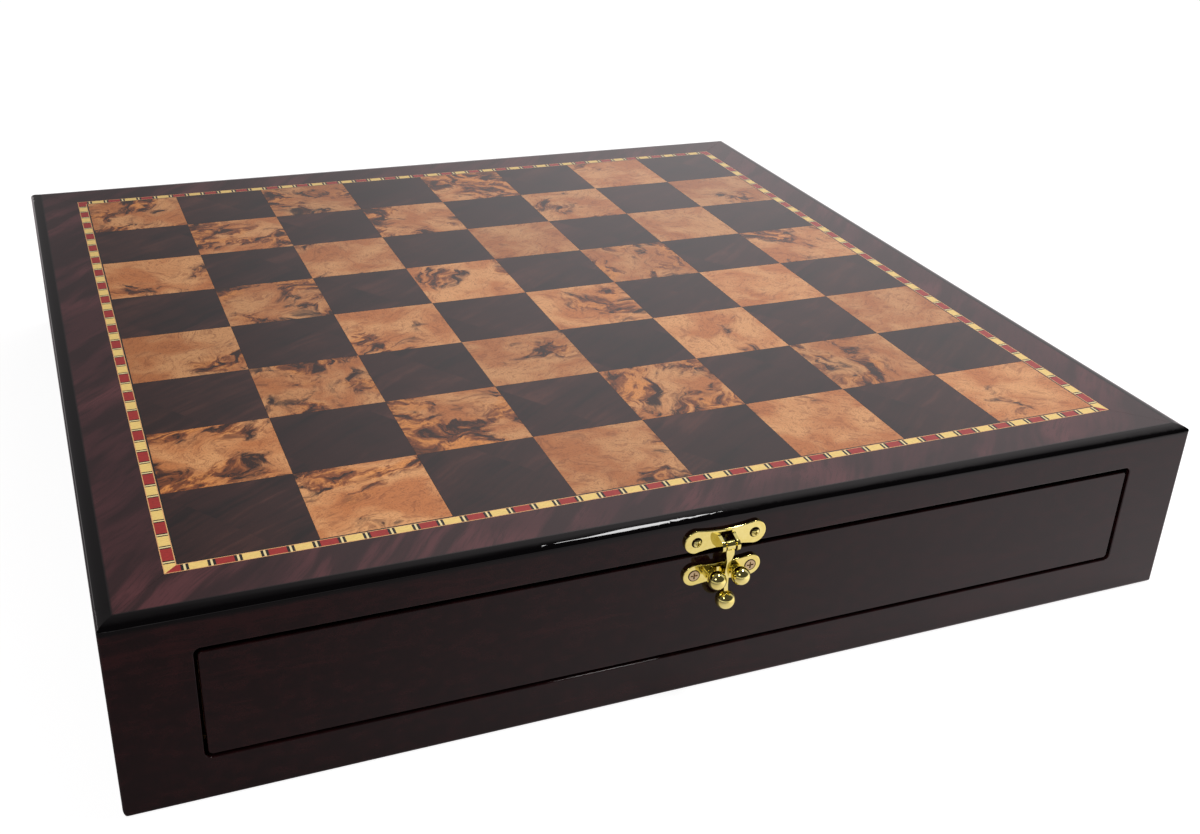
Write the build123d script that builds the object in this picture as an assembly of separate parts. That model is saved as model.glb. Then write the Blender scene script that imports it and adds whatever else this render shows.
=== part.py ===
from build123d import *
import os

# A square chess box: a veneered playing board on top of a lacquered case, with one
# full-width drawer in the front and one in the back. A brass hook holds each drawer shut.
# Millimetres, +Z up. The origin is the middle of the underside, and the front faces -Y.

# Board
square = 44.45
squares_a_side = 8
banding_width = 4.8
border_width = 22.0
veneer = 0.6
glue_line = 0.05
board_thickness = 9.0

# Case
height = 73.0
wall = 12.0
top_round_reach = 4.9
top_round_drop = 2.6
underside_round = 1.5
side_underside_round = 3.0
corner_round = 1.2
partition_thickness = 6.0
bottom_thickness = 4.0
bottom_height = 3.0
groove_depth = 4.0

# Opening in the front and back frames
stile_width = 26.3
sill_height = 16.6
rail_height = 14.0
opening_radius = 2.4
opening_ease = 0.4

# What each drawer runs on and against
bearer_margin = 8.2
guide_drop = 7.3
runner_gap = 0.3
guide_gap = 0.5
kicker_gap = 1.0
stop_pad_radius = 5.0
stop_pad_thickness = 1.0
stop_pad_reach = 120.0
stop_pad_rise = 18.5
stop_gap = 0.3

# Drawer
front_side_gap = 1.2
front_top_gap = 1.9
front_bottom_gap = 0.8
front_recess = 0.5
front_corner_step = 0.8
front_ease = 0.5
drawer_side_drop = 4.6
drawer_side_thickness = 8.0
drawer_bottom_thickness = 3.0
drawer_bottom_lift = 2.0
felt_thickness = 0.8
felt_gap = 0.1
divider_height = 12.5
divider_thickness = 3.0
lap_gap = 0.1
long_bay = 100.0
long_columns = 2
short_columns = 2
bay_rows = 4

# Latch: the plate with the hook is on the frame, the catch is on the drawer
plate_rise = 4.6
plate_end_radius = 4.45
plate_waist = 6.8
plate_screw_reach = 11.1
catch_drop = 7.3
catch_end_radius = 4.1
catch_waist = 6.8
catch_screw_reach = 10.9
brass_thickness = 1.3
brass_ease = 0.35
waist_softening = 2.0

# Hook and its pin. A reach is out from the face of the frame. The neck's depth is below the
# pin, and the other levels are above or below the line of the catch.
pin_stand_off = 4.0
pin_drop = 1.5
pin_radius = 0.8
pin_fit = 0.05
pin_seat = 0.02
eye_radius = 1.9
hook_width = 3.0
hook_thickness = 1.8
neck_reach = 4.7
neck_depth = 2.6
knee_reach = 3.4
knee_over = 1.5
shin_reach = 3.6
shin_under = 4.5
end_ball_reach = 4.7
end_ball_under = 9.6
neck_radius = 6.0
knee_radius = 14.0
shin_radius = 10.0
end_ball_radius = 3.6
slot_gap = 0.7
slot_top = 2.6
ear_thickness = 1.2
ear_radius = 2.2
ear_root_rise = 3.6
ear_root_drop = 1.8

# Catch: two balls on prongs, with the hook's arm behind and between them
catch_ball_radius = 3.4
catch_ball_stand_off = 5.9
arm_gap = 0.45
arm_width = 1.5
arm_taper_over = 9.3
arm_taper_length = 3.2
prong_radius = 1.7
boss_width = 14.0
boss_height = 5.6
boss_corner = 2.7
boss_stand_off = 2.6

# Screws: round heads on the frame's plate, and countersunk heads in the catch
round_head_radius = 2.0
round_head_height = 1.1
round_head_recess = 0.8
screw_head_radius = 2.2
screw_head_height = 1.3
screw_head_proud = 0.15
screw_shank_radius = 1.0
screw_length = 9.5
screw_fit = 0.05
recess_reach = 1.3
recess_width = 0.55
recess_depth = 0.7

# Places that follow from the sizes above
board = squares_a_side * square
outer = board + 2 * (banding_width + border_width)
half = outer / 2
inner_half = half - wall
veneer_base = height - veneer
board_base = veneer_base - board_thickness
floor_top = bottom_height + bottom_thickness
opening_half = half - stile_width
opening_top = height - rail_height
partition_face = -partition_thickness / 2
front_half = opening_half - front_side_gap
front_low = sill_height + front_bottom_gap
front_high = opening_top - front_top_gap
front_corner_radius = opening_radius - front_corner_step
drawer_low = sill_height + runner_gap
drawer_high = front_high - drawer_side_drop
drawer_side_round = opening_radius - runner_gap
drawer_end = partition_face - stop_pad_thickness - stop_gap
bay_half = front_half - drawer_side_thickness
bay_front = -inner_half
bay_back = drawer_end - drawer_side_thickness
drawer_floor = drawer_low + drawer_bottom_lift
felt_low = drawer_floor + drawer_bottom_thickness
felt_high = felt_low + felt_thickness
column_gaps = (long_columns + short_columns - 1) * divider_thickness
short_bay = (2 * bay_half - column_gaps - long_columns * long_bay) / short_columns
kicker_low = drawer_high + kicker_gap
bearer_edge = bay_half - bearer_margin
plate_height = opening_top + plate_rise
pin_height = plate_height - pin_drop
catch_height = front_high - catch_drop
catch_depth = pin_height - catch_height
neck = (neck_reach, -neck_depth)
knee = (knee_reach, knee_over - catch_depth)
shin = (shin_reach, -shin_under - catch_depth)
end_ball = (end_ball_reach, -end_ball_under - catch_depth)
arm_taper_start = arm_taper_over - catch_depth
arm_taper_end = arm_taper_start - arm_taper_length
arm_out = max(neck_reach, knee_reach, shin_reach, end_ball_reach) + hook_thickness
slot_half = hook_width / 2 + slot_gap
ear_half = slot_half + ear_thickness
catch_ball_reach = arm_width / 2 + arm_gap + catch_ball_radius
recess_floor = brass_thickness + screw_head_proud - recess_depth
round_recess_floor = brass_thickness + round_head_height - recess_depth
round_head_curve = (round_head_radius**2 + round_head_height**2) / (2 * round_head_height)


def block(x, y, z):
    """A box between three pairs of coordinates."""
    centre = ((x[0] + x[1]) / 2, (y[0] + y[1]) / 2, (z[0] + z[1]) / 2)
    return Pos(*centre) * Box(x[1] - x[0], y[1] - y[0], z[1] - z[0])


def turned(shape):
    """The same piece at the opposite side of the box."""
    return Rot(0, 0, 180) * shape


def mirrored(shape):
    """The same piece at the other end of the front."""
    return mirror(shape, Plane.YZ)


def facing(x, z, stand_off=0.0):
    """A plane on the front face, turned to look out of it."""
    return Plane(origin=(x, -half - stand_off, z), x_dir=(1, 0, 0), z_dir=(0, -1, 0))


def save(name, *pieces):
    """One file holds one sub-part, which may be several like solids."""
    solids = [solid for piece in pieces for solid in piece.solids()]
    export_step(Compound(solids), f"parts/{name}.step")


# Case


def case_section(low_round):
    """The end view of the case: quarter ellipses above, and rounded by a radius below."""
    section = Pos(0, height / 2) * Rectangle(outer, height)
    section = fillet(section.vertices().group_by(Axis.Y)[0], low_round)
    for side in (-1, 1):
        centre = Pos(side * (half - top_round_reach), height - top_round_drop)
        middle = Pos(side * top_round_reach / 2, top_round_drop / 2)
        sharp = centre * middle * Rectangle(top_round_reach, top_round_drop)
        section -= sharp - centre * Ellipse(top_round_reach, top_round_drop)
    return section


def case_outside():
    """The outer form that the four walls are cut to."""
    along_y = extrude(Plane.XZ * case_section(side_underside_round), half, both=True)
    along_x = extrude(Plane.YZ * case_section(underside_round), half, both=True)
    plan = fillet(Rectangle(outer, outer).vertices(), corner_round)
    return along_y & along_x & extrude(plan, height)


def bottom_panel():
    reach = inner_half + groove_depth
    return block((-reach, reach), (-reach, reach), (bottom_height, floor_top))


def veneer_recess():
    """The room for the veneers, which end where the rounding begins."""
    reach = half - top_round_reach
    return block((-reach, reach), (-reach, reach), (veneer_base, height + veneer))


def drawer_opening():
    outline = Rectangle(2 * opening_half, opening_top - sill_height)
    outline = fillet(outline.vertices(), opening_radius)
    return extrude(facing(0, (opening_top + sill_height) / 2) * outline, -wall)


def front_frame(outside):
    """One wall with the drawer's opening, its edge eased, and the hook plate's screw holes."""
    frame = outside & block((-half, half), (-half, -inner_half), (0, height))
    frame = frame - bottom_panel() - veneer_recess() - drawer_opening()
    rim = frame.faces().sort_by(Axis.Y)[0].inner_wires()[0]
    frame = fillet(rim.edges(), opening_ease)
    for side in (-1, 1):
        frame -= round_headed_hole(side * plate_screw_reach, plate_height)
    return frame


def left_side(outside):
    side = outside & block((-half, -inner_half), (-inner_half, inner_half), (0, height))
    return side - bottom_panel() - veneer_recess()


def board_core():
    reach = (-inner_half, inner_half)
    return block(reach, reach, (board_base, veneer_base))


def centre_partition():
    across = (-inner_half, inner_half)
    return block(across, (partition_face, -partition_face), (floor_top, board_base))


# Veneers


def board_squares(odd):
    """Every second square of the board. The front left square is one of the even ones."""
    squares = []
    for column in range(squares_a_side):
        for row in range(squares_a_side):
            if (column + row) % 2 == odd:
                x = (column + 0.5) * square - board / 2
                y = (row + 0.5) * square - board / 2
                size = square - glue_line
                squares.append(Pos(x, y, height - veneer / 2) * Box(size, size, veneer))
    return squares


def mitred_ring(inside, outside):
    """Four strips round the board, mitred at the corners."""
    near = inside + glue_line / 2
    far = outside - glue_line / 2
    outline = Polygon(
        (-far + glue_line, -far),
        (far - glue_line, -far),
        (near - glue_line, -near),
        (-near + glue_line, -near),
        align=None,
    )
    strip = extrude(Pos(0, 0, veneer_base) * outline, veneer)
    return [Rot(0, 0, 90 * turn) * strip for turn in range(4)]


# What the front drawer runs on, with its copy at the back


def bearer():
    """The left bearer, level with the sill, which reaches in past the drawer's side."""
    across = (-inner_half, -bearer_edge)
    return block(across, (-inner_half, partition_face), (floor_top, sill_height))


def guide():
    """The left guide, beside the drawer."""
    across = (-inner_half, -front_half - guide_gap)
    up = (sill_height, kicker_low - guide_drop)
    return block(across, (-inner_half, partition_face), up)


def kicker():
    """The left kicker, above the drawer's side, which keeps an open drawer level."""
    across = (-inner_half, -bearer_edge)
    return block(across, (-inner_half, partition_face), (kicker_low, board_base))


def stop_pad():
    """The felt disc that the closed drawer comes up to."""
    centre = (-stop_pad_reach, partition_face, drawer_low + stop_pad_rise)
    plane = Plane(origin=centre, z_dir=(0, -1, 0))
    return extrude(plane * Circle(stop_pad_radius), stop_pad_thickness)


# Front drawer


def drawer_bottom():
    """The plywood bottom, let into grooves in the front, the sides and the back."""
    reach = bay_half + groove_depth
    deep = (bay_front - groove_depth, bay_back + groove_depth)
    return block((-reach, reach), deep, (drawer_floor, felt_low))


def drawer_front():
    outline = Rectangle(2 * front_half, front_high - front_low)
    outline = fillet(outline.vertices(), front_corner_radius)
    plane = facing(0, (front_high + front_low) / 2, -front_recess)
    front = extrude(plane * outline, front_recess - wall)
    front = fillet(front.faces().sort_by(Axis.Y)[0].edges(), front_ease)
    front -= drawer_bottom()
    for side in (-1, 1):
        front -= screw_hole(side * catch_screw_reach, catch_height, front_recess)
    return front


def drawer_side():
    """The left side. Its lower outer edge is rounded to pass the opening's round corner."""
    across = (-front_half, -bay_half)
    side = block(across, (bay_front, drawer_end), (drawer_low, drawer_high))
    low_edge = side.edges().filter_by(Axis.Y).group_by(Axis.Z)[0].sort_by(Axis.X)[0]
    return fillet(low_edge, drawer_side_round) - drawer_bottom()


def drawer_back():
    back = block((-bay_half, bay_half), (bay_back, drawer_end), (drawer_low, drawer_high))
    return back - drawer_bottom()


def drawer_felt():
    reach = bay_half - felt_gap
    deep = (bay_front + felt_gap, bay_back - felt_gap)
    return block((-reach, reach), deep, (felt_low, felt_high))


def column_places():
    """The left faces of the dividers between the columns, with the long bays at the left."""
    widths = [long_bay] * long_columns + [short_bay] * (short_columns - 1)
    x = -bay_half
    places = []
    for width in widths:
        places.append(x + width)
        x += width + divider_thickness
    return places


def row_places():
    """The front faces of the dividers between rows of equal depth."""
    dividers = bay_rows - 1
    depth = (bay_back - bay_front - dividers * divider_thickness) / bay_rows
    pitch = depth + divider_thickness
    return [bay_front + depth + pitch * n for n in range(dividers)]


def lap_slots(low, high):
    """Where the dividers cross, as slots between two heights."""
    slots = []
    for x in column_places():
        for y in row_places():
            across = (x - lap_gap, x + divider_thickness + lap_gap)
            deep = (y - lap_gap, y + divider_thickness + lap_gap)
            slots.append(block(across, deep, (low, high)))
    return slots


def row_dividers():
    """Strips from side to side, slotted from above."""
    across = (-bay_half + felt_gap, bay_half - felt_gap)
    up = (felt_high, felt_high + divider_height)
    slots = lap_slots(felt_high + divider_height / 2, felt_high + divider_height)
    return [block(across, (y, y + divider_thickness), up) - slots for y in row_places()]


def column_dividers():
    """Strips from front to back, slotted from below."""
    deep = (bay_front + felt_gap, bay_back - felt_gap)
    up = (felt_high, felt_high + divider_height)
    slots = lap_slots(felt_high, felt_high + divider_height / 2)
    return [block((x, x + divider_thickness), deep, up) - slots for x in column_places()]


# Brass latch


def screw_profile(gap):
    """Half of a countersunk screw, from its axis outwards, with a gap all round it."""
    top = brass_thickness + screw_head_proud
    neck_level = top - screw_head_height
    return Polygon(
        (0, top),
        (screw_head_radius + gap, top),
        (screw_shank_radius + gap, neck_level),
        (screw_shank_radius + gap, top - screw_length - gap),
        (0, top - screw_length - gap),
        align=None,
    )


def screw_body(x, z, recess, gap):
    """A screw, or with a gap the hole for one, square to the front face."""
    plane = Plane(origin=(x, -half + recess, z), x_dir=(1, 0, 0), z_dir=(0, 0, 1))
    body = revolve(Plane.XZ * screw_profile(gap), Axis.Z)
    return plane * Rot(90, 0, 0) * body


def screw_hole(x, z, recess=0.0):
    return screw_body(x, z, recess, screw_fit)


def cross_recess(x, z, floor, reach):
    """The cross cut in a screw's head, down to a floor that is out from the front face."""
    out = (-half - floor - 2 * brass_thickness, -half - floor)
    slim = recess_width / 2
    level = block((x - reach, x + reach), out, (z - slim, z + slim))
    return level + block((x - slim, x + slim), out, (z - reach, z + reach))


def screw(x, z, recess=0.0):
    """A countersunk screw with a cross recess in its head."""
    return screw_body(x, z, recess, 0) - cross_recess(x, z, recess_floor - recess, recess_reach)


def round_headed_hole(x, z):
    """The hole for a round-headed screw, through the plate and into the frame."""
    plane = facing(x, z, brass_thickness)
    return extrude(plane * Circle(screw_shank_radius + screw_fit), -screw_length - screw_fit)


def round_headed_screw(x, z):
    """A screw whose domed head stands on the plate, with a small cross recess."""
    plane = facing(x, z, brass_thickness)
    shank = extrude(plane * Circle(screw_shank_radius), -screw_length)
    head = extrude(plane * Circle(round_head_radius), round_head_height)
    centre = facing(x, z, brass_thickness + round_head_height - round_head_curve)
    head = head & centre * Sphere(round_head_curve)
    return shank + head - cross_recess(x, z, round_recess_floor, round_head_recess)


def waisted_plate(reach, end_radius, waist, z, recess):
    """A flat plate with a round end for each screw and hollowed long edges."""
    top = ThreePointArc((-reach, end_radius), (0, waist / 2), (reach, end_radius))
    right = ThreePointArc((reach, end_radius), (reach + end_radius, 0), (reach, -end_radius))
    low = ThreePointArc((reach, -end_radius), (0, -waist / 2), (-reach, -end_radius))
    left = ThreePointArc((-reach, -end_radius), (-reach - end_radius, 0), (-reach, end_radius))
    outline = make_face([top, right, low, left])
    outline = fillet(outline.vertices(), waist_softening)
    plate = extrude(facing(0, z, -recess) * outline, brass_thickness)
    return fillet(plate.faces().sort_by(Axis.Y)[0].edges(), brass_ease)


def across_rod(radius, reach, stand_off, z):
    """A rod along X, centred, in front of the face."""
    plane = Plane(origin=(-reach, -half - stand_off, z), z_dir=(1, 0, 0))
    return extrude(plane * Circle(radius), 2 * reach)


def pin_ear():
    """The left ear, which narrows from its root on the plate to a round end at the pin."""
    side = Plane(origin=(-slot_half, -half, pin_height), x_dir=(0, -1, 0), z_dir=(-1, 0, 0))
    root = Line((0, -ear_root_drop), (0, ear_root_rise))
    end = Pos(pin_stand_off, 0) * Circle(ear_radius)
    return extrude(side * make_hull([root.edge(), *end.edges()]), ear_thickness)


def hook_plate():
    """The plate on the frame: slotted from below for the hook, with an ear each side."""
    plate = waisted_plate(plate_screw_reach, plate_end_radius, plate_waist, plate_height, 0)
    slot = (plate_height - plate_end_radius, plate_height + slot_top)
    plate -= block((-slot_half, slot_half), (-half - brass_thickness, -half), slot)
    plate += pin_ear() + mirrored(pin_ear())
    for side in (-1, 1):
        plate -= round_headed_hole(side * plate_screw_reach, plate_height)
    return plate - across_rod(pin_radius + pin_seat, half, pin_stand_off, pin_height)


def hinge_pin():
    return across_rod(pin_radius, ear_half, pin_stand_off, pin_height)


def hook_side_view():
    """The swan-necked arm from the pin to the ball, seen from the side."""
    route = FilletPolyline(
        (pin_stand_off, 0),
        neck,
        knee,
        shin,
        end_ball,
        radius=[neck_radius, knee_radius, shin_radius],
    )
    return trace(route, hook_thickness)


def hook_front_view():
    """The arm from the front: wide at the eye, thin between the catch's balls."""
    wide = hook_width / 2
    thin = arm_width / 2
    return Polygon(
        (-wide, eye_radius),
        (-wide, arm_taper_start),
        (-thin, arm_taper_end),
        (-thin, end_ball[1]),
        (thin, end_ball[1]),
        (thin, arm_taper_end),
        (wide, arm_taper_start),
        (wide, eye_radius),
        align=None,
    )


def hook():
    """Eye, arm and end ball, hanging from the pin and hooked behind the catch's balls."""
    pin = (0, -half, pin_height)
    side = Plane(origin=pin, x_dir=(0, -1, 0), z_dir=(-1, 0, 0))
    front = Plane(origin=pin, x_dir=(1, 0, 0), z_dir=(0, -1, 0))
    arm = extrude(side * hook_side_view(), hook_width, both=True)
    arm = arm & extrude(front * hook_front_view(), arm_out)
    arm += across_rod(eye_radius, hook_width / 2, pin_stand_off, pin_height)
    ball = (0, -half - end_ball[0], pin_height + end_ball[1])
    arm += Pos(*ball) * Sphere(end_ball_radius)
    return arm - across_rod(pin_radius + pin_fit, half, pin_stand_off, pin_height)


def catch():
    """The plate on the drawer, with a boss and two prongs that end in balls."""
    recess = front_recess
    plate = waisted_plate(catch_screw_reach, catch_end_radius, catch_waist, catch_height, recess)
    outline = fillet(Rectangle(boss_width, boss_height).vertices(), boss_corner)
    plate += extrude(facing(0, catch_height, -recess) * outline, boss_stand_off)
    for side in (-1, 1):
        x = side * catch_ball_reach
        prong = facing(x, catch_height, -recess) * Circle(prong_radius)
        plate += extrude(prong, catch_ball_stand_off + recess)
        centre = (x, -half - catch_ball_stand_off, catch_height)
        plate += Pos(*centre) * Sphere(catch_ball_radius)
        plate -= screw_hole(side * catch_screw_reach, catch_height, recess)
    return plate


# Every sub-part, written to its own file


def build_case():
    outside = case_outside()
    frame = front_frame(outside)
    side = left_side(outside)
    save("front_frame", frame)
    save("back_frame", turned(frame))
    save("left_side", side)
    save("right_side", turned(side))
    save("bottom_panel", bottom_panel())
    save("board_core", board_core())
    save("centre_partition", centre_partition())
    save("dark_squares", *board_squares(0))
    save("light_squares", *board_squares(1))
    banding_edge = board / 2 + banding_width
    save("inlay_banding", *mitred_ring(board / 2, banding_edge))
    save("border_veneer", *mitred_ring(banding_edge, half - top_round_reach))


def build_front_set():
    """The pieces that the front has, and the back has again, by name."""
    plate_screws = [round_headed_screw(side * plate_screw_reach, plate_height) for side in (-1, 1)]
    catch_screws = [
        screw(side * catch_screw_reach, catch_height, front_recess) for side in (-1, 1)
    ]
    return {
        "bearers": [bearer(), mirrored(bearer())],
        "guides": [guide(), mirrored(guide())],
        "kickers": [kicker(), mirrored(kicker())],
        "stop_pads": [stop_pad(), mirrored(stop_pad())],
        "drawer_front": [drawer_front()],
        "drawer_left_side": [drawer_side()],
        "drawer_right_side": [mirrored(drawer_side())],
        "drawer_back": [drawer_back()],
        "drawer_bottom": [drawer_bottom()],
        "drawer_felt": [drawer_felt()],
        "row_dividers": row_dividers(),
        "column_dividers": column_dividers(),
        "hook_plate": [hook_plate()],
        "hook_plate_screws": plate_screws,
        "hinge_pin": [hinge_pin()],
        "hook": [hook()],
        "catch": [catch()],
        "catch_screws": catch_screws,
    }


os.makedirs("parts", exist_ok=True)
build_case()
for name, pieces in build_front_set().items():
    save(f"front_{name}", *pieces)
    save(f"back_{name}", *[turned(piece) for piece in pieces])
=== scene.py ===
"""The looks of a chess box with two drawers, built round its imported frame. Metres, +Z up."""

import math

import bpy
from mathutils import Matrix, Vector

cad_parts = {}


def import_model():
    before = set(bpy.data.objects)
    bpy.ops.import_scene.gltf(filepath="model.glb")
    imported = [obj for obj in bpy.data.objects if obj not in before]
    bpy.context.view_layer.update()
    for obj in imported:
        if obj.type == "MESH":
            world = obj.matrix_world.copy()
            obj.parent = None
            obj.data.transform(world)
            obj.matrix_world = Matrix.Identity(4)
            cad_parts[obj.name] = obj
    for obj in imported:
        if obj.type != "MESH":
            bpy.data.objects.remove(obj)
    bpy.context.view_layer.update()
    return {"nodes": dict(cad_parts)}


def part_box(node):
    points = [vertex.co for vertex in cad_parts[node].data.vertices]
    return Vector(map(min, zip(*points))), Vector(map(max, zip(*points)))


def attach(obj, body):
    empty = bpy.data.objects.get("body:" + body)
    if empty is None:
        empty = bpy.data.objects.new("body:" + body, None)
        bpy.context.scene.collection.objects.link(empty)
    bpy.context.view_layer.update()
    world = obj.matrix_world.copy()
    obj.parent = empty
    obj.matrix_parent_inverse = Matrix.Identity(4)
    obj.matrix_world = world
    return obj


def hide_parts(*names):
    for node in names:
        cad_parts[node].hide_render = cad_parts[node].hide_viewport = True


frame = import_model()
nodes = frame["nodes"]

MM = 0.001
SQUARES_A_SIDE = 8

# Sizes that the frame gives, in millimetres, as the textures use them. The board's is rounded
# to take off what the precision of a mesh adds.
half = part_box("front_frame")[1].x / MM
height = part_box("front_frame")[1].z / MM
border_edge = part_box("border_veneer")[1].x / MM
banding_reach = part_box("inlay_banding")[1].x / MM
banding_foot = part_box("inlay_banding")[0].z / MM
board_half = SQUARES_A_SIDE * round(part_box("light_squares")[1].x / MM / SQUARES_A_SIDE, 3)
square = 2 * board_half / SQUARES_A_SIDE


# Colours


def srgb(red, green, blue):
    """A colour given in sRGB bytes, as the shaders take it."""
    parts = [channel / 255 for channel in (red, green, blue)]
    linear = [c / 12.92 if c <= 0.04045 else ((c + 0.055) / 1.055) ** 2.4 for c in parts]
    return (*linear, 1.0)


BLACK_EDGE = srgb(3, 2, 3)
CASE_DARK = srgb(25, 10, 11)
CASE_RED = srgb(44, 17, 18)
BORDER_DARK = srgb(34, 16, 18)
BORDER_MID = srgb(60, 30, 33)
BORDER_LIGHT = srgb(82, 43, 46)
SQUARE_DARK = srgb(20, 9, 9)
SQUARE_MID = srgb(42, 20, 18)
SQUARE_LIGHT = srgb(68, 37, 31)
BURL_PALE = srgb(212, 152, 98)
BURL_MID = srgb(184, 112, 60)
BURL_GLOW = srgb(214, 138, 70)
BURL_BROWN = srgb(128, 68, 32)
BURL_DARK = srgb(42, 22, 14)
BURL_SPECK = srgb(104, 54, 28)
BANDING_PALE = srgb(226, 172, 116)
BANDING_BLACK = srgb(26, 20, 18)
BANDING_CREAM = srgb(236, 216, 156)
BANDING_YELLOW = srgb(240, 206, 122)
BANDING_RED = srgb(164, 44, 40)
WOOD_LIGHT = srgb(196, 156, 110)
WOOD_DARK = srgb(160, 116, 74)
PLY_LIGHT = srgb(206, 172, 128)
PLY_DARK = srgb(172, 130, 86)
BOARD_LIGHT = srgb(172, 138, 98)
BOARD_DARK = srgb(132, 100, 68)
FELT_LIGHT = srgb(30, 82, 52)
FELT_DARK = srgb(10, 42, 26)
FELT_SHEEN = srgb(120, 170, 130)
BRASS = srgb(243, 233, 150)
BRASS_DEEP = srgb(236, 222, 130)
COPPER_BRASS = srgb(194, 174, 136)
# Painted shade round the rims of screw heads
SCREW_RECESS_SHADE = srgb(44, 32, 20)
WHITE = (1.0, 1.0, 1.0, 1.0)
NO_LIGHT = (0.0, 0.0, 0.0, 1.0)


# Node trees


class Nodes:
    """Short calls that add nodes to a tree. A value may be a number or a node's output."""

    def __init__(self, tree):
        self.tree = tree

    def feed(self, socket, value):
        """Sets a socket, or links an output to it."""
        if isinstance(value, bpy.types.NodeSocket):
            self.tree.links.new(value, socket)
        else:
            socket.default_value = value

    def add(self, kind, inputs, output=0, **settings):
        """Adds one node and gives one of its outputs."""
        node = self.tree.nodes.new("ShaderNode" + kind)
        for key, value in settings.items():
            setattr(node, key, value)
        for key, value in inputs.items():
            self.feed(node.inputs[key], value)
        return node.outputs[output]

    def math(self, operation, a, b=0.0):
        return self.add("Math", {0: a, 1: b}, operation=operation)

    def vector(self, operation, a, b=(0, 0, 0)):
        return self.add("VectorMath", {0: a, 1: b}, operation=operation)

    def measure(self, operation, a, b=(0, 0, 0)):
        """The number that an operation on vectors gives."""
        return self.add("VectorMath", {0: a, 1: b}, "Value", operation=operation)

    def times(self, a, number):
        """A vector times a number."""
        return self.add("VectorMath", {0: a, "Scale": number}, operation="SCALE")

    def parts(self, vector):
        node = self.tree.nodes.new("ShaderNodeSeparateXYZ")
        self.feed(node.inputs[0], vector)
        return node.outputs

    def joined(self, x, y, z):
        return self.add("CombineXYZ", {0: x, 1: y, 2: z})

    def spread(self, value, reach, to=(0.0, 1.0)):
        """Takes one range smoothly to another, and stays at its ends beyond them."""
        inputs = {"Value": value, 1: reach[0], 2: reach[1], 3: to[0], 4: to[1]}
        return self.add("MapRange", inputs, interpolation_type="SMOOTHSTEP")

    def swing(self, value, amount):
        """How far a noise is from its middle, times an amount."""
        return self.math("MULTIPLY", self.math("SUBTRACT", value, 0.5), amount)

    def mixed(self, a, b, share):
        """Two numbers in one, with this share of the first."""
        first, second = self.math("MULTIPLY", a, share), self.math("MULTIPLY", b, 1 - share)
        return self.math("ADD", first, second)

    def blend(self, share, a, b, kind="MIX"):
        """Colour a, going over to colour b."""
        inputs = {0: share, 6: a, 7: b}
        return self.add("Mix", inputs, 2, data_type="RGBA", blend_type=kind)

    def shaded(self, colour, value):
        """A colour times a number."""
        return self.blend(1.0, colour, self.joined(value, value, value), "MULTIPLY")


class Finish(Nodes):
    """A material, with calls for patterns on it and for its shader."""

    def __init__(self, name):
        self.material = bpy.data.materials.new(name)
        self.material.use_nodes = True
        super().__init__(self.material.node_tree)
        self.shader = self.tree.nodes["Principled BSDF"]

    def place(self):
        """Where the point is on the piece at rest, in millimetres."""
        at = self.add("TexCoord", {}, "Object")
        return self.times(at, 1 / MM)

    def turned(self, at, angle):
        """The place turned about the vertical, by an angle in radians."""
        return self.add("VectorRotate", {"Vector": at, "Angle": angle}, rotation_type="Z_AXIS")

    def noise(self, at, scale, detail=4.0, roughness=0.55, distortion=0.0, output=0):
        """A noise with this many waves in a millimetre."""
        inputs = {
            "Vector": at,
            "Scale": scale,
            "Detail": detail,
            "Roughness": roughness,
            "Distortion": distortion,
        }
        return self.add("TexNoise", inputs, output)

    def grain(self, at, along, across, scale=1.0, **settings):
        """A noise of its own width along the first axis and across it."""
        stretched = self.vector("MULTIPLY", at, (along, across, across))
        return self.noise(stretched, scale, **settings)

    def shifted(self, at, scale, amount, detail=2.0):
        """The same place pushed about by a noise, so that a pattern on it wanders."""
        push = self.noise(at, scale, detail, output="Color")
        push = self.vector("SUBTRACT", push, (0.5, 0.5, 0.5))
        return self.vector("ADD", at, self.times(push, amount))

    def vary(self, socket, value):
        """Gives a socket of the shader a value that differs from place to place."""
        self.feed(self.shader.inputs[socket], value)

    def colour(self, value):
        self.vary("Base Color", value)

    def bump(self, level, depth, strength=1.0):
        """Relief of a depth in millimetres."""
        inputs = {"Height": level, "Distance": depth * MM, "Strength": strength}
        self.vary("Normal", self.add("Bump", inputs))

    def constants(self, **values):
        """Values that are the same all over, by the socket's name with _ for a space."""
        for name, value in values.items():
            self.shader.inputs[name.replace("_", " ")].default_value = value


# Patterns

# The furthest that two squares' cuts lie apart in the veneer, in millimetres
CUT_APART = 4000.0


def along_axis(finish, at, axis):
    """The place with its first part along the grain, which runs along x or y."""
    x, y, z = finish.parts(at)
    return finish.joined(x, y, z) if axis == "x" else finish.joined(y, x, z)


def mahogany(finish, at, dark, mid, light, wander=14.0):
    """Streaks along the first axis that wander, with ribbon figure across them and pores."""
    at = finish.shifted(at, scale=0.012, amount=wander)
    at = finish.shifted(at, scale=0.06, amount=wander / 6)
    bands = finish.grain(at, along=0.006, across=0.075, roughness=0.6)
    streaks = finish.grain(at, along=0.02, across=0.55, detail=5.0, roughness=0.6)
    ribbon = finish.grain(at, along=0.05, across=0.02, detail=2.0)
    pores = finish.grain(at, along=0.22, across=4.5, detail=2.0)
    streaked = finish.math("ADD", finish.swing(bands, 1.5), finish.swing(streaks, 0.8))
    ribboned = finish.math("ADD", finish.swing(ribbon, 0.7), 0.5)
    tone = finish.math("ADD", streaked, ribboned)
    colour = finish.blend(finish.spread(tone, (0.12, 0.52)), dark, mid)
    colour = finish.blend(finish.spread(tone, (0.5, 0.92)), colour, light)
    return finish.blend(finish.spread(pores, (0.58, 0.72), (0.0, 0.45)), colour, dark)


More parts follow.
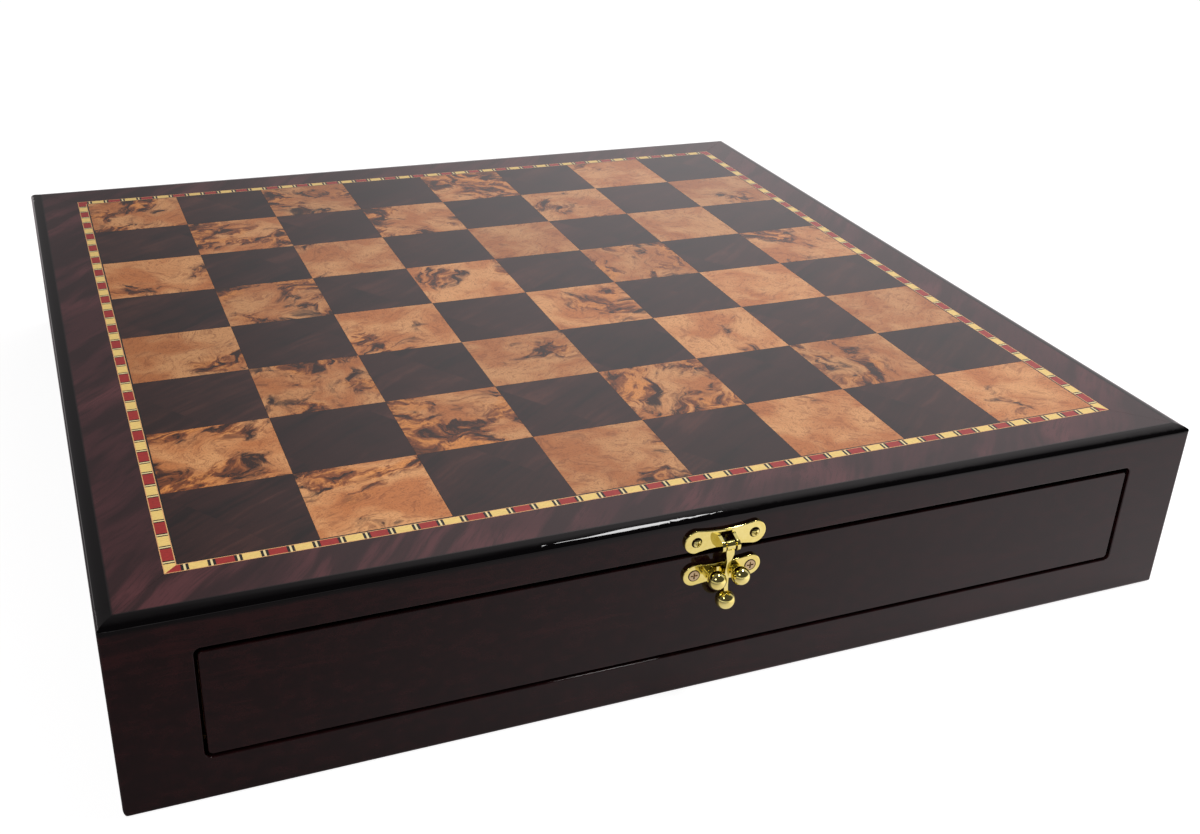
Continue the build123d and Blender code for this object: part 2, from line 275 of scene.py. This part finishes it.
def burl(finish, at, figure, tone):
    """Plain clouded wood with clusters of dark curling flames, small eyes and fine pores.
    Figure says how much of it the clusters take, and tone how light it is."""
    slow = finish.shifted(at, scale=0.035, amount=26.0)
    curled = finish.shifted(slow, scale=0.09, amount=15.0, detail=3.0)
    clouds = finish.noise(slow, scale=0.045, detail=3.0, roughness=0.5)
    clusters = finish.noise(slow, scale=0.032, detail=2.0, roughness=0.5)
    ripples = finish.grain(
        curled, along=0.3, across=1.5, scale=0.32, detail=3.0, roughness=0.5
    )
    flames = finish.grain(
        curled, along=0.5, across=1.2, scale=0.11, detail=5.0, roughness=0.62, distortion=0.5
    )
    pores = finish.grain(slow, along=0.8, across=1.5, scale=1.5, detail=2.0, roughness=0.6)

    plain = finish.blend(finish.spread(clouds, (0.36, 0.64)), BURL_MID, BURL_PALE)
    plain = finish.blend(finish.spread(ripples, (0.5, 0.68), (0.0, 0.45)), plain, BURL_BROWN)
    flame = finish.blend(finish.spread(flames, (0.38, 0.5)), BURL_DARK, BURL_BROWN)
    flame = finish.blend(finish.spread(flames, (0.47, 0.6)), flame, BURL_GLOW)

    torn = finish.swing(flames, -0.55)
    near = finish.math("ADD", finish.math("ADD", clusters, torn), figure)
    knots = eyes(finish, slow, finish.spread(near, (0.44, 0.52)))
    colour = finish.blend(finish.spread(near, (0.5, 0.64)), plain, flame)
    colour = finish.blend(knots, colour, BURL_DARK)
    colour = finish.blend(finish.spread(pores, (0.54, 0.7), (0.0, 0.55)), colour, BURL_SPECK)
    pored = finish.spread(pores, (0.3, 0.7), (1.06, 0.94))
    return finish.shaded(colour, finish.math("MULTIPLY", tone, pored))


def eyes(finish, at, figure):
    """Small knots with a halo, in groups, where the figure is."""
    wavy = finish.shifted(at, scale=0.3, amount=3.0)
    cells = {"Vector": wavy, "Scale": 0.16, "Randomness": 1.0}
    reach = finish.add("TexVoronoi", cells, "Distance")
    grouped = finish.spread(finish.noise(at, scale=0.05, detail=1.0), (0.5, 0.58))
    spot = finish.spread(reach, (0.06, 0.2), (0.85, 0.0))
    halo = finish.spread(reach, (0.2, 0.42), (0.3, 0.0))
    knot = finish.math("MAXIMUM", spot, halo)
    return finish.math("MULTIPLY", finish.math("MULTIPLY", knot, grouped), figure)


def own_cut(finish, at, turn):
    """A place in a veneer that is cut anew in each square of the grid that the place counts
    in, and that square's three random numbers. Each cut is turned by up to an angle in
    degrees."""
    index = finish.vector("FLOOR", finish.times(at, 1 / square))
    random = finish.add("TexWhiteNoise", {"Vector": index}, "Color", noise_dimensions="3D")
    angle = finish.math("MULTIPLY", finish.parts(random)[2], math.radians(turn))
    far = finish.times(random, CUT_APART)
    return finish.vector("ADD", finish.turned(at, angle), far), random


def furthest_out(finish, at):
    """How far a point is from the middle, square to the nearest side."""
    x, y, _ = finish.parts(at)
    return finish.math("MAXIMUM", finish.math("ABSOLUTE", x), finish.math("ABSOLUTE", y))


def plain_wood(finish, at, light, dark):
    """Pale straight-grained wood, its grain along the first axis."""
    at = finish.shifted(at, scale=0.01, amount=8.0)
    bands = finish.grain(at, along=0.008, across=0.2, roughness=0.6)
    fibres = finish.grain(at, along=0.06, across=2.4, roughness=0.6)
    tone = finish.mixed(bands, fibres, 0.6)
    return finish.blend(finish.spread(tone, (0.36, 0.64)), light, dark)


# Finishes

CASE_IOR = 1.34
BOARD_IOR = 1.45
GLOSS = 0.03
RAW_ROUGHNESS = 0.6
WEAR_ROUGHNESS = 0.09
# How the grain slants from its axis
MOTTLE_SLANT = math.radians(30)
BORDER_SLANT = math.radians(-50)
SQUARE_SLANT = math.radians(-35)
# Where one look of the case wood goes over into another, in millimetres: from stain to black
# below its upper face, from black painted shade in the drawer's opening to stain and from raw
# to lacquered behind its outer faces, and from lacquered to raw above its lower one
RIM_DEPTHS = (4.6, 3.0)
GAP_SHADE_DEPTHS = (2.4, 1.0)
RAW_DEPTHS = (10.0, 9.0)
SOLE = (0.4, 0.8)
# Over what width the border fades to black and bright brass to painted shade, in millimetres
BORDER_FADE = 0.9
SCREW_SHADE_FADE = 0.2


def lacquer(finish, ior):
    """High-gloss clear lacquer, with the faint waviness of a polished coat."""
    finish.constants(Roughness=GLOSS, IOR=ior)
    waves = finish.noise(finish.place(), scale=0.12, detail=2.0)
    finish.bump(waves, depth=0.01, strength=0.35)


def case_lacquer(name, grain):
    """Stained case wood: black along the upper edge, black painted shade deep in the drawer's
    opening, and raw inside the walls."""
    finish = Finish(name)
    at = finish.place()
    run = along_axis(finish, at, grain)
    stain = mahogany(finish, run, CASE_DARK, CASE_DARK, CASE_RED)
    slanted = finish.turned(at, MOTTLE_SLANT)
    mottle = finish.grain(slanted, along=0.05, across=0.25, detail=5.0, roughness=0.65)
    stain = finish.blend(finish.spread(mottle, (0.42, 0.66), (0.0, 0.55)), stain, CASE_RED)

    level = finish.parts(at)[2]
    out = furthest_out(finish, at)
    rim = finish.spread(level, [height - depth for depth in RIM_DEPTHS])
    # Painted shade: black deep in the drawer's opening, where the gap is in shade
    cut = finish.spread(out, [half - depth for depth in GAP_SHADE_DEPTHS], (1.0, 0.0))
    stain = finish.blend(finish.math("MAXIMUM", rim, cut), stain, BLACK_EDGE)

    raw = plain_wood(finish, run, WOOD_LIGHT, WOOD_DARK)
    inside = finish.spread(out, [half - depth for depth in RAW_DEPTHS], (1.0, 0.0))
    inside = finish.math("MULTIPLY", inside, finish.spread(level, SOLE))
    finish.colour(finish.blend(inside, stain, raw))
    lacquer(finish, CASE_IOR)
    finish.vary("Roughness", finish.spread(inside, (0.0, 1.0), (GLOSS, RAW_ROUGHNESS)))
    return finish.material


def border():
    """Mahogany veneer with soft slanting bands, shaded to black at its outer edge."""
    finish = Finish("border_mahogany_veneer")
    at = finish.place()
    slanted = finish.shifted(finish.turned(at, BORDER_SLANT), scale=0.02, amount=14.0)
    bands = finish.grain(
        slanted, along=0.014, across=0.1, detail=3.0, roughness=0.5, distortion=0.2
    )
    patches = finish.grain(slanted, along=0.02, across=0.03, detail=2.0, roughness=0.5)
    fibres = finish.grain(slanted, along=0.05, across=0.9, roughness=0.6)
    wood = finish.blend(finish.spread(patches, (0.42, 0.64)), BORDER_MID, BORDER_LIGHT)
    wood = finish.blend(finish.spread(bands, (0.42, 0.6), (0.0, 0.85)), wood, BORDER_DARK)
    wood = finish.blend(finish.spread(fibres, (0.46, 0.7), (0.0, 0.5)), wood, BORDER_DARK)
    shade = finish.spread(furthest_out(finish, at), (border_edge - BORDER_FADE, border_edge))
    finish.colour(finish.blend(shade, wood, BLACK_EDGE))
    lacquer(finish, BOARD_IOR)
    return finish.material


def dark_veneer():
    """Mahogany with one slant to its grain. The grid of its cuts slants with it, so a cut can
    end faintly within a square of the board."""
    finish = Finish("dark_mahogany_veneer")
    at, random = own_cut(finish, finish.turned(finish.place(), SQUARE_SLANT), turn=0)
    wood = mahogany(finish, at, SQUARE_DARK, SQUARE_MID, SQUARE_LIGHT, wander=20.0)
    tone = finish.spread(finish.parts(random)[0], (0.0, 1.0), (0.75, 1.15))
    finish.colour(finish.shaded(wood, tone))
    lacquer(finish, BOARD_IOR)
    return finish.material


def light_veneer():
    """Burl, cut anew in each square of the board, and plainer towards the right."""
    finish = Finish("light_burl_veneer")
    at, random = own_cut(finish, finish.place(), turn=360)
    red, green, _ = finish.parts(random)
    side = finish.parts(finish.place())[0]
    own = finish.spread(red, (0.1, 0.9), (-0.08, 0.1))
    plainer = finish.spread(side, (0.0, board_half), (0.02, -0.11))
    tone = finish.spread(green, (0.0, 1.0), (0.84, 1.06))
    finish.colour(burl(finish, at, finish.math("ADD", own, plainer), tone))
    lacquer(finish, BOARD_IOR)
    return finish.material


def banding_wood(name, colour, darkest):
    """One of the small coloured woods of the banding, its fibres shaded."""
    finish = Finish(name)
    fibres = finish.grain(finish.place(), along=0.7, across=2.6, roughness=0.6)
    finish.colour(finish.shaded(colour, finish.spread(fibres, (0.3, 0.7), (darkest, 1.05))))
    lacquer(finish, BOARD_IOR)
    return finish.material


def raw_wood(name, grain, light, dark):
    """Plain wood with open pores."""
    finish = Finish(name)
    at = along_axis(finish, finish.place(), grain)
    finish.colour(plain_wood(finish, at, light, dark))
    finish.constants(Roughness=0.55)
    finish.bump(finish.grain(at, along=0.08, across=3.0), depth=0.05)
    return finish.material


def fibreboard():
    """Pressed wood fibres, which show at the edges of the core."""
    finish = Finish("raw_fibreboard")
    at = finish.shifted(finish.place(), scale=0.3, amount=2.0)
    fibres = finish.grain(at, along=0.6, across=1.5, detail=6.0, roughness=0.7)
    finish.colour(finish.blend(finish.spread(fibres, (0.35, 0.65)), BOARD_LIGHT, BOARD_DARK))
    finish.constants(Roughness=0.8)
    finish.bump(fibres, depth=0.04)
    return finish.material


def felt():
    """Green felt, tufted and a little matted."""
    finish = Finish("green_felt")
    at = finish.place()
    tufts = finish.noise(at, scale=1.4, detail=5.0, roughness=0.7)
    matted = finish.noise(at, scale=0.08, roughness=0.6)
    tone = finish.mixed(tufts, matted, 0.6)
    finish.colour(finish.blend(finish.spread(tone, (0.36, 0.64)), FELT_DARK, FELT_LIGHT))
    finish.constants(
        Roughness=0.95, Sheen_Weight=0.35, Sheen_Roughness=0.4, Sheen_Tint=FELT_SHEEN
    )
    finish.bump(tufts, depth=0.25)
    return finish.material


def from_screw(finish, node):
    """How far a point is from the axis of the nearest screw of a pair, in millimetres. The
    pairs at the front and the back lie alike."""
    low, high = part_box(node)
    head_radius = (high.z - low.z) / 2
    reach, level = (high.x - head_radius) / MM, (high.z - head_radius) / MM
    x, _, z = finish.parts(finish.place())
    across = finish.math("SUBTRACT", finish.math("ABSOLUTE", x), reach)
    apart = finish.joined(across, finish.math("SUBTRACT", z, level), 0.0)
    return finish.measure("LENGTH", apart)


def brass(name, light, deep, roughness, screws=None, shade_radius=0.0):
    """Polished brass, with fine wear in its gloss. The heads of screws are bright out to their
    shade radius, and beyond it painted shade darkens their rims, as if their recess shaded
    them."""
    finish = Finish(name)
    at = finish.place()
    clouds = finish.noise(at, scale=0.25, roughness=0.6)
    metal = finish.blend(finish.spread(clouds, (0.35, 0.65)), light, deep)
    if screws:
        # Painted shade: the rim of each screw head goes dark, as its recess would be in shade
        recess_shade = finish.spread(from_screw(finish, screws), (shade_radius, shade_radius + SCREW_SHADE_FADE))
        metal = finish.blend(recess_shade, metal, SCREW_RECESS_SHADE)
    finish.colour(metal)
    finish.constants(Metallic=1.0)
    wear = finish.noise(at, scale=0.9, detail=5.0, roughness=0.65)
    worn = finish.spread(wear, (0.35, 0.75), (roughness, roughness + WEAR_ROUGHNESS))
    finish.vary("Roughness", worn)
    finish.bump(finish.noise(at, scale=0.5, detail=3.0), depth=0.02, strength=0.4)
    return finish.material


def finish_frame():
    """Gives every shown node of the frame its finish."""
    case_x = case_lacquer("case_lacquer_along_x", "x")
    case_y = case_lacquer("case_lacquer_along_y", "y")
    wood_x = raw_wood("drawer_wood_along_x", "x", WOOD_LIGHT, WOOD_DARK)
    wood_y = raw_wood("drawer_wood_along_y", "y", WOOD_LIGHT, WOOD_DARK)
    ply = raw_wood("plywood_face", "x", PLY_LIGHT, PLY_DARK)
    lining = felt()
    plate = brass("polished_brass", BRASS, BRASS_DEEP, roughness=0.05)
    screws = brass(
        "brass_screw",
        BRASS,
        BRASS_DEEP,
        roughness=0.12,
        screws="front_hook_plate_screws",
        shade_radius=1.35,
    )
    brown_screws = brass(
        "brown_brass_screw",
        COPPER_BRASS,
        COPPER_BRASS,
        roughness=0.2,
        screws="front_catch_screws",
        shade_radius=1.8,
    )
    finishes = {
        "front_frame": case_x,
        "back_frame": case_x,
        "left_side": case_y,
        "right_side": case_y,
        "bottom_panel": ply,
        "board_core": fibreboard(),
        "centre_partition": ply,
        "dark_squares": dark_veneer(),
        "light_squares": light_veneer(),
        "border_veneer": border(),
    }
    at_each_end = {
        "bearers": wood_y,
        "guides": wood_y,
        "kickers": wood_y,
        "stop_pads": lining,
        "drawer_front": case_x,
        "drawer_left_side": wood_y,
        "drawer_right_side": wood_y,
        "drawer_back": wood_x,
        "drawer_bottom": ply,
        "drawer_felt": lining,
        "row_dividers": wood_x,
        "column_dividers": wood_y,
        "hook_plate": plate,
        "hook_plate_screws": screws,
        "hinge_pin": plate,
        "hook": plate,
        "catch": plate,
        "catch_screws": brown_screws,
    }
    for end in ("front_", "back_"):
        finishes.update({end + name: material for name, material in at_each_end.items()})
    for name, material in finishes.items():
        for slot in nodes[name].material_slots:
            slot.material = material


def placed(name, data):
    """A new object in the scene."""
    made = bpy.data.objects.new(name, data)
    bpy.context.scene.collection.objects.link(made)
    return made


# Banding, in small blocks. Widths and lengths are in millimetres.

PALE_LINE = 0.3
BLACK_LINE = 0.6
CREAM_WIDTH = 0.7
# Each strip, turned from the front one: its first and last joint from its two ends, the
# number of joints, whether it starts with a red block, the width of its black lines, and
# how much longer its red blocks are than its yellow ones.
STRIPS = (
    (6.4, 5.4, 44, True, 0.88, 0.0),
    (7.7, 7.4, 43, False, 0.6, 1.2),
    (6.2, 5.8, 44, True, 0.88, 0.0),
    (8.2, 6.7, 43, True, 0.6, 1.2),
)
# Each wood's colour and how dark its fibres go, as a share of it
WOODS = {
    "pale": (BANDING_PALE, 0.85),
    "black": (BANDING_BLACK, 0.85),
    "cream": (BANDING_CREAM, 0.9),
    "yellow": (BANDING_YELLOW, 0.85),
    "red": (BANDING_RED, 0.75),
}


def strip_run(first, last, joints, red_first, line, red_excess):
    """The stretches along one strip as (start, end, wood), from its left end. Each joint
    moves by a quarter of the excess, so that each block changes by half of it."""
    length = 2 * banding_reach
    pitch = (length - first - last) / (joints - 1)
    runs = []
    start = 0.0
    red = red_first
    for n in range(joints):
        middle = first + n * pitch + (red_excess if red else -red_excess) / 4
        low, high = middle - CREAM_WIDTH / 2, middle + CREAM_WIDTH / 2
        runs.append((start, low - line, "red" if red else "yellow"))
        runs.append((low - line, low, "black"))
        runs.append((low, high, "cream"))
        runs.append((high, high + line, "black"))
        start, red = high + line, not red
    runs.append((start, length, "red" if red else "yellow"))
    return runs


def trimmed(points):
    """The corners of a front block that are left when both mitres of its strip, the lines at
    45 degrees through the middle of the board, have cut it."""
    for side in (-1, 1):
        kept = []
        for n, (x, y) in enumerate(points):
            px, py = points[n - 1]
            here = -y - side * x
            before = -py - side * px
            if here * before < 0:
                share = before / (before - here)
                kept.append((px + share * (x - px), py + share * (y - py)))
            if here >= 0:
                kept.append((x, y))
        points = kept
    return points


def slab(points, turn):
    """A block of the veneer's thickness from its plan, as corners and faces, turned by this
    many quarters from the front strip."""
    spin = Matrix.Rotation(math.radians(90 * turn), 4, "Z")
    corners = [spin @ Vector((x, y, z)) * MM for z in (banding_foot, height) for x, y in points]
    count = len(points)
    sides = [(n, (n + 1) % count, count + (n + 1) % count, count + n) for n in range(count)]
    return corners, [tuple(reversed(range(count))), tuple(range(count, 2 * count)), *sides]


def banding():
    """The inlaid ring: mitred strips of coloured blocks between thin lines."""
    corners, faces, materials = [], [], []
    woods = list(WOODS)
    outer, inner = -banding_reach, -board_half
    lines = (
        (outer, outer + PALE_LINE, "pale"),
        (inner - BLACK_LINE - PALE_LINE, inner - BLACK_LINE, "pale"),
        (inner - BLACK_LINE, inner, "black"),
    )
    across = (outer + PALE_LINE, inner - BLACK_LINE - PALE_LINE)
    for turn, strip in enumerate(STRIPS):
        pieces = [(-banding_reach, banding_reach, *line) for line in lines]
        for start, end, wood in strip_run(*strip):
            pieces.append((start - banding_reach, end - banding_reach, *across, wood))
        for left, right, near, far, wood in pieces:
            plan = trimmed([(left, near), (right, near), (right, far), (left, far)])
            points, polygons = slab(plan, turn)
            faces += [tuple(n + len(corners) for n in polygon) for polygon in polygons]
            materials += [woods.index(wood)] * len(polygons)
            corners += points
    mesh = bpy.data.meshes.new("inlay_banding_blocks")
    mesh.from_pydata(corners, [], faces)
    for wood, (colour, darkest) in WOODS.items():
        mesh.materials.append(banding_wood("banding_" + wood, colour, darkest))
    mesh.polygons.foreach_set("material_index", materials)
    ring = placed("inlay_banding_blocks", mesh)
    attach(ring, "case")
    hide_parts("inlay_banding")


# Studio

CAMERA_PLACE = (-0.2036, -0.5613, 0.3179)
CAMERA_AZIMUTH = 23.48
CAMERA_DOWN = 27.30
CAMERA_ROLL = 2.64
CAMERA_LENS = 41.81
CAMERA_NEAR = 0.01
FLOOR_REACH = 12.0
FLOOR_DROP = 0.05 * MM
FLOOR_BASE = (0.8, 0.8, 0.8, 1.0)
# Painted shade of the floor in the gloss, darker at the front left, over a distance in
# millimetres along X and, by this share, along Y
DIM_TURN = 0.35
DIM_REACH = (-330.0, 170.0)
DIM_SHARES = (0.207, 1.13)
# What the camera and the gloss see of the floor: its base, its own light and its warm tint
SEEN_BASE = (0.38, 0.38, 0.38, 1.0)
SEEN_GLOW = 0.88
GLOSS_TINT = (1.0, 0.9, 0.92, 1.0)
# The room's strength from its front to its back, by how far back a direction points
ROOM_BACKWARDS = (-0.3, 0.5)
ROOM_LEVELS = (0.07, 0.26)
ROOM_TINT = (1.0, 0.94, 0.955, 1.0)
# Its bright side: where the middle is, in degrees, where it fades, by the cosine from there,
# and its strength
SIDE_AZIMUTH = 55
SIDE_RISE = 24
SIDE_COSINES = (0.64, 0.92)
SIDE_LEVEL = 0.86
# Where its white horizon fades, by how far up a direction points
HORIZON_UPWARDS = (0.06, 0.17)
# The lamps: place, target, size, radiance and whether the gloss mirrors it. A mirrored lamp
# stands a little nearer than the broad one, which would otherwise hide it.
BOARD_FRONT = (0.0, -0.1, 0.0)
BOX_MIDDLE = (0.0, 0.0, 0.03)
LAMPS = {
    "key": ((0.38, -0.2, 1.12), BOARD_FRONT, (0.38, 0.22), 13.2, False),
    "key_strip": ((0.372, -0.198, 1.098), BOARD_FRONT, (0.38, 0.12), 29.0, True),
    "fill": ((-0.75, -0.85, 0.95), BOX_MIDDLE, (0.55, 0.55), 3.7, False),
    "fill_window": ((-0.735, -0.833, 0.932), BOX_MIDDLE, (0.28, 0.28), 5.0, True),
}


def camera():
    """The photograph's view, fitted to the board's grid."""
    azimuth, down, roll = map(math.radians, (CAMERA_AZIMUTH, CAMERA_DOWN, CAMERA_ROLL))
    flat = Vector((math.sin(azimuth), math.cos(azimuth), 0))
    ahead = flat * math.cos(down) - Vector((0, 0, math.sin(down)))
    level = Vector((math.cos(azimuth), -math.sin(azimuth), 0))
    upright = level.cross(ahead)
    right = level * math.cos(roll) + upright * math.sin(roll)
    up = upright * math.cos(roll) - level * math.sin(roll)
    data = bpy.data.cameras.new("camera")
    data.lens = CAMERA_LENS
    data.clip_start = CAMERA_NEAR
    seen = placed("camera", data)
    seen.matrix_world = Matrix((right, up, -ahead)).transposed().to_4x4()
    seen.location = CAMERA_PLACE
    bpy.context.scene.camera = seen


def softbox(name, place, target, size, radiance, mirrored):
    """A rectangular lamp that faces its target. A radiance of 1 looks white. One that isn't
    mirrored lights the box without showing in its gloss."""
    data = bpy.data.lights.new(name, "AREA")
    data.shape = "RECTANGLE"
    data.size, data.size_y = size
    data.energy = radiance * math.pi * size[0] * size[1]
    lamp = placed(name, data)
    lamp.location = place
    lamp.rotation_euler = (Vector(target) - Vector(place)).to_track_quat("-Z", "Y").to_euler()
    lamp.visible_camera = False
    lamp.visible_glossy = mirrored


def floor():
    """A pale floor. The camera sees it as white, apart from the shadow, and so does the gloss,
    but for the front left, which painted shade darkens."""
    finish = Finish("white_floor")
    path = finish.tree.nodes.new("ShaderNodeLightPath").outputs
    gloss = finish.math("MAXIMUM", path["Is Glossy Ray"], path["Is Transmission Ray"])
    x, y, _ = finish.parts(finish.place())
    # Painted shade: the gloss sees the floor darker towards the front left
    across = finish.math("ADD", x, finish.math("MULTIPLY", y, DIM_TURN))
    share = finish.math("MULTIPLY", gloss, finish.spread(across, DIM_REACH, DIM_SHARES))
    lit = finish.math("MAXIMUM", path["Is Camera Ray"], share)
    seen = finish.math("MAXIMUM", path["Is Camera Ray"], gloss)
    tint = finish.blend(gloss, WHITE, GLOSS_TINT)
    shown = finish.blend(lit, NO_LIGHT, finish.blend(1.0, tint, SEEN_BASE, "MULTIPLY"))
    finish.colour(finish.blend(seen, FLOOR_BASE, shown))
    finish.constants(Roughness=1.0, Specular_IOR_Level=0.0)
    finish.vary("Emission Color", tint)
    finish.vary("Emission Strength", finish.math("MULTIPLY", lit, SEEN_GLOW))
    mesh = bpy.data.meshes.new("floor")
    reach = FLOOR_REACH
    corners = ((-reach, -reach), (reach, -reach), (reach, reach), (-reach, reach))
    mesh.from_pydata([(*corner, -FLOOR_DROP) for corner in corners], [], [(0, 1, 2, 3)])
    mesh.materials.append(finish.material)
    sheet = placed("floor", mesh)


def world():
    """A dim room with a pale horizon and one broad bright side, behind and to the right. The
    camera sees it as white."""
    made = bpy.data.worlds.new("studio")
    made.use_nodes = True
    bpy.context.scene.world = made
    room = Nodes(made.node_tree)
    way = room.add("TexCoord", {}, "Generated")
    _, back, up = room.parts(way)
    azimuth, rise = math.radians(SIDE_AZIMUTH), math.radians(SIDE_RISE)
    bright = (
        math.sin(azimuth) * math.cos(rise),
        math.cos(azimuth) * math.cos(rise),
        math.sin(rise),
    )
    near = room.measure("DOT_PRODUCT", way, bright)
    dim = room.spread(back, ROOM_BACKWARDS, ROOM_LEVELS)
    side = room.spread(near, SIDE_COSINES, (dim, SIDE_LEVEL))
    level = room.math("MAXIMUM", side, room.spread(up, HORIZON_UPWARDS, (1.0, 0.0)))
    seen = room.add("LightPath", {}, "Is Camera Ray")
    shader = room.tree.nodes["Background"]
    room.feed(shader.inputs["Color"], room.blend(seen, ROOM_TINT, WHITE))
    room.feed(shader.inputs["Strength"], room.math("MAXIMUM", level, seen))


def studio():
    """The camera, the floor, the room and the lamps."""
    bpy.context.scene.view_settings.view_transform = "Standard"
    camera()
    floor()
    world()
    for name, lamp in LAMPS.items():
        softbox(name, *lamp)


finish_frame()
banding()
studio()
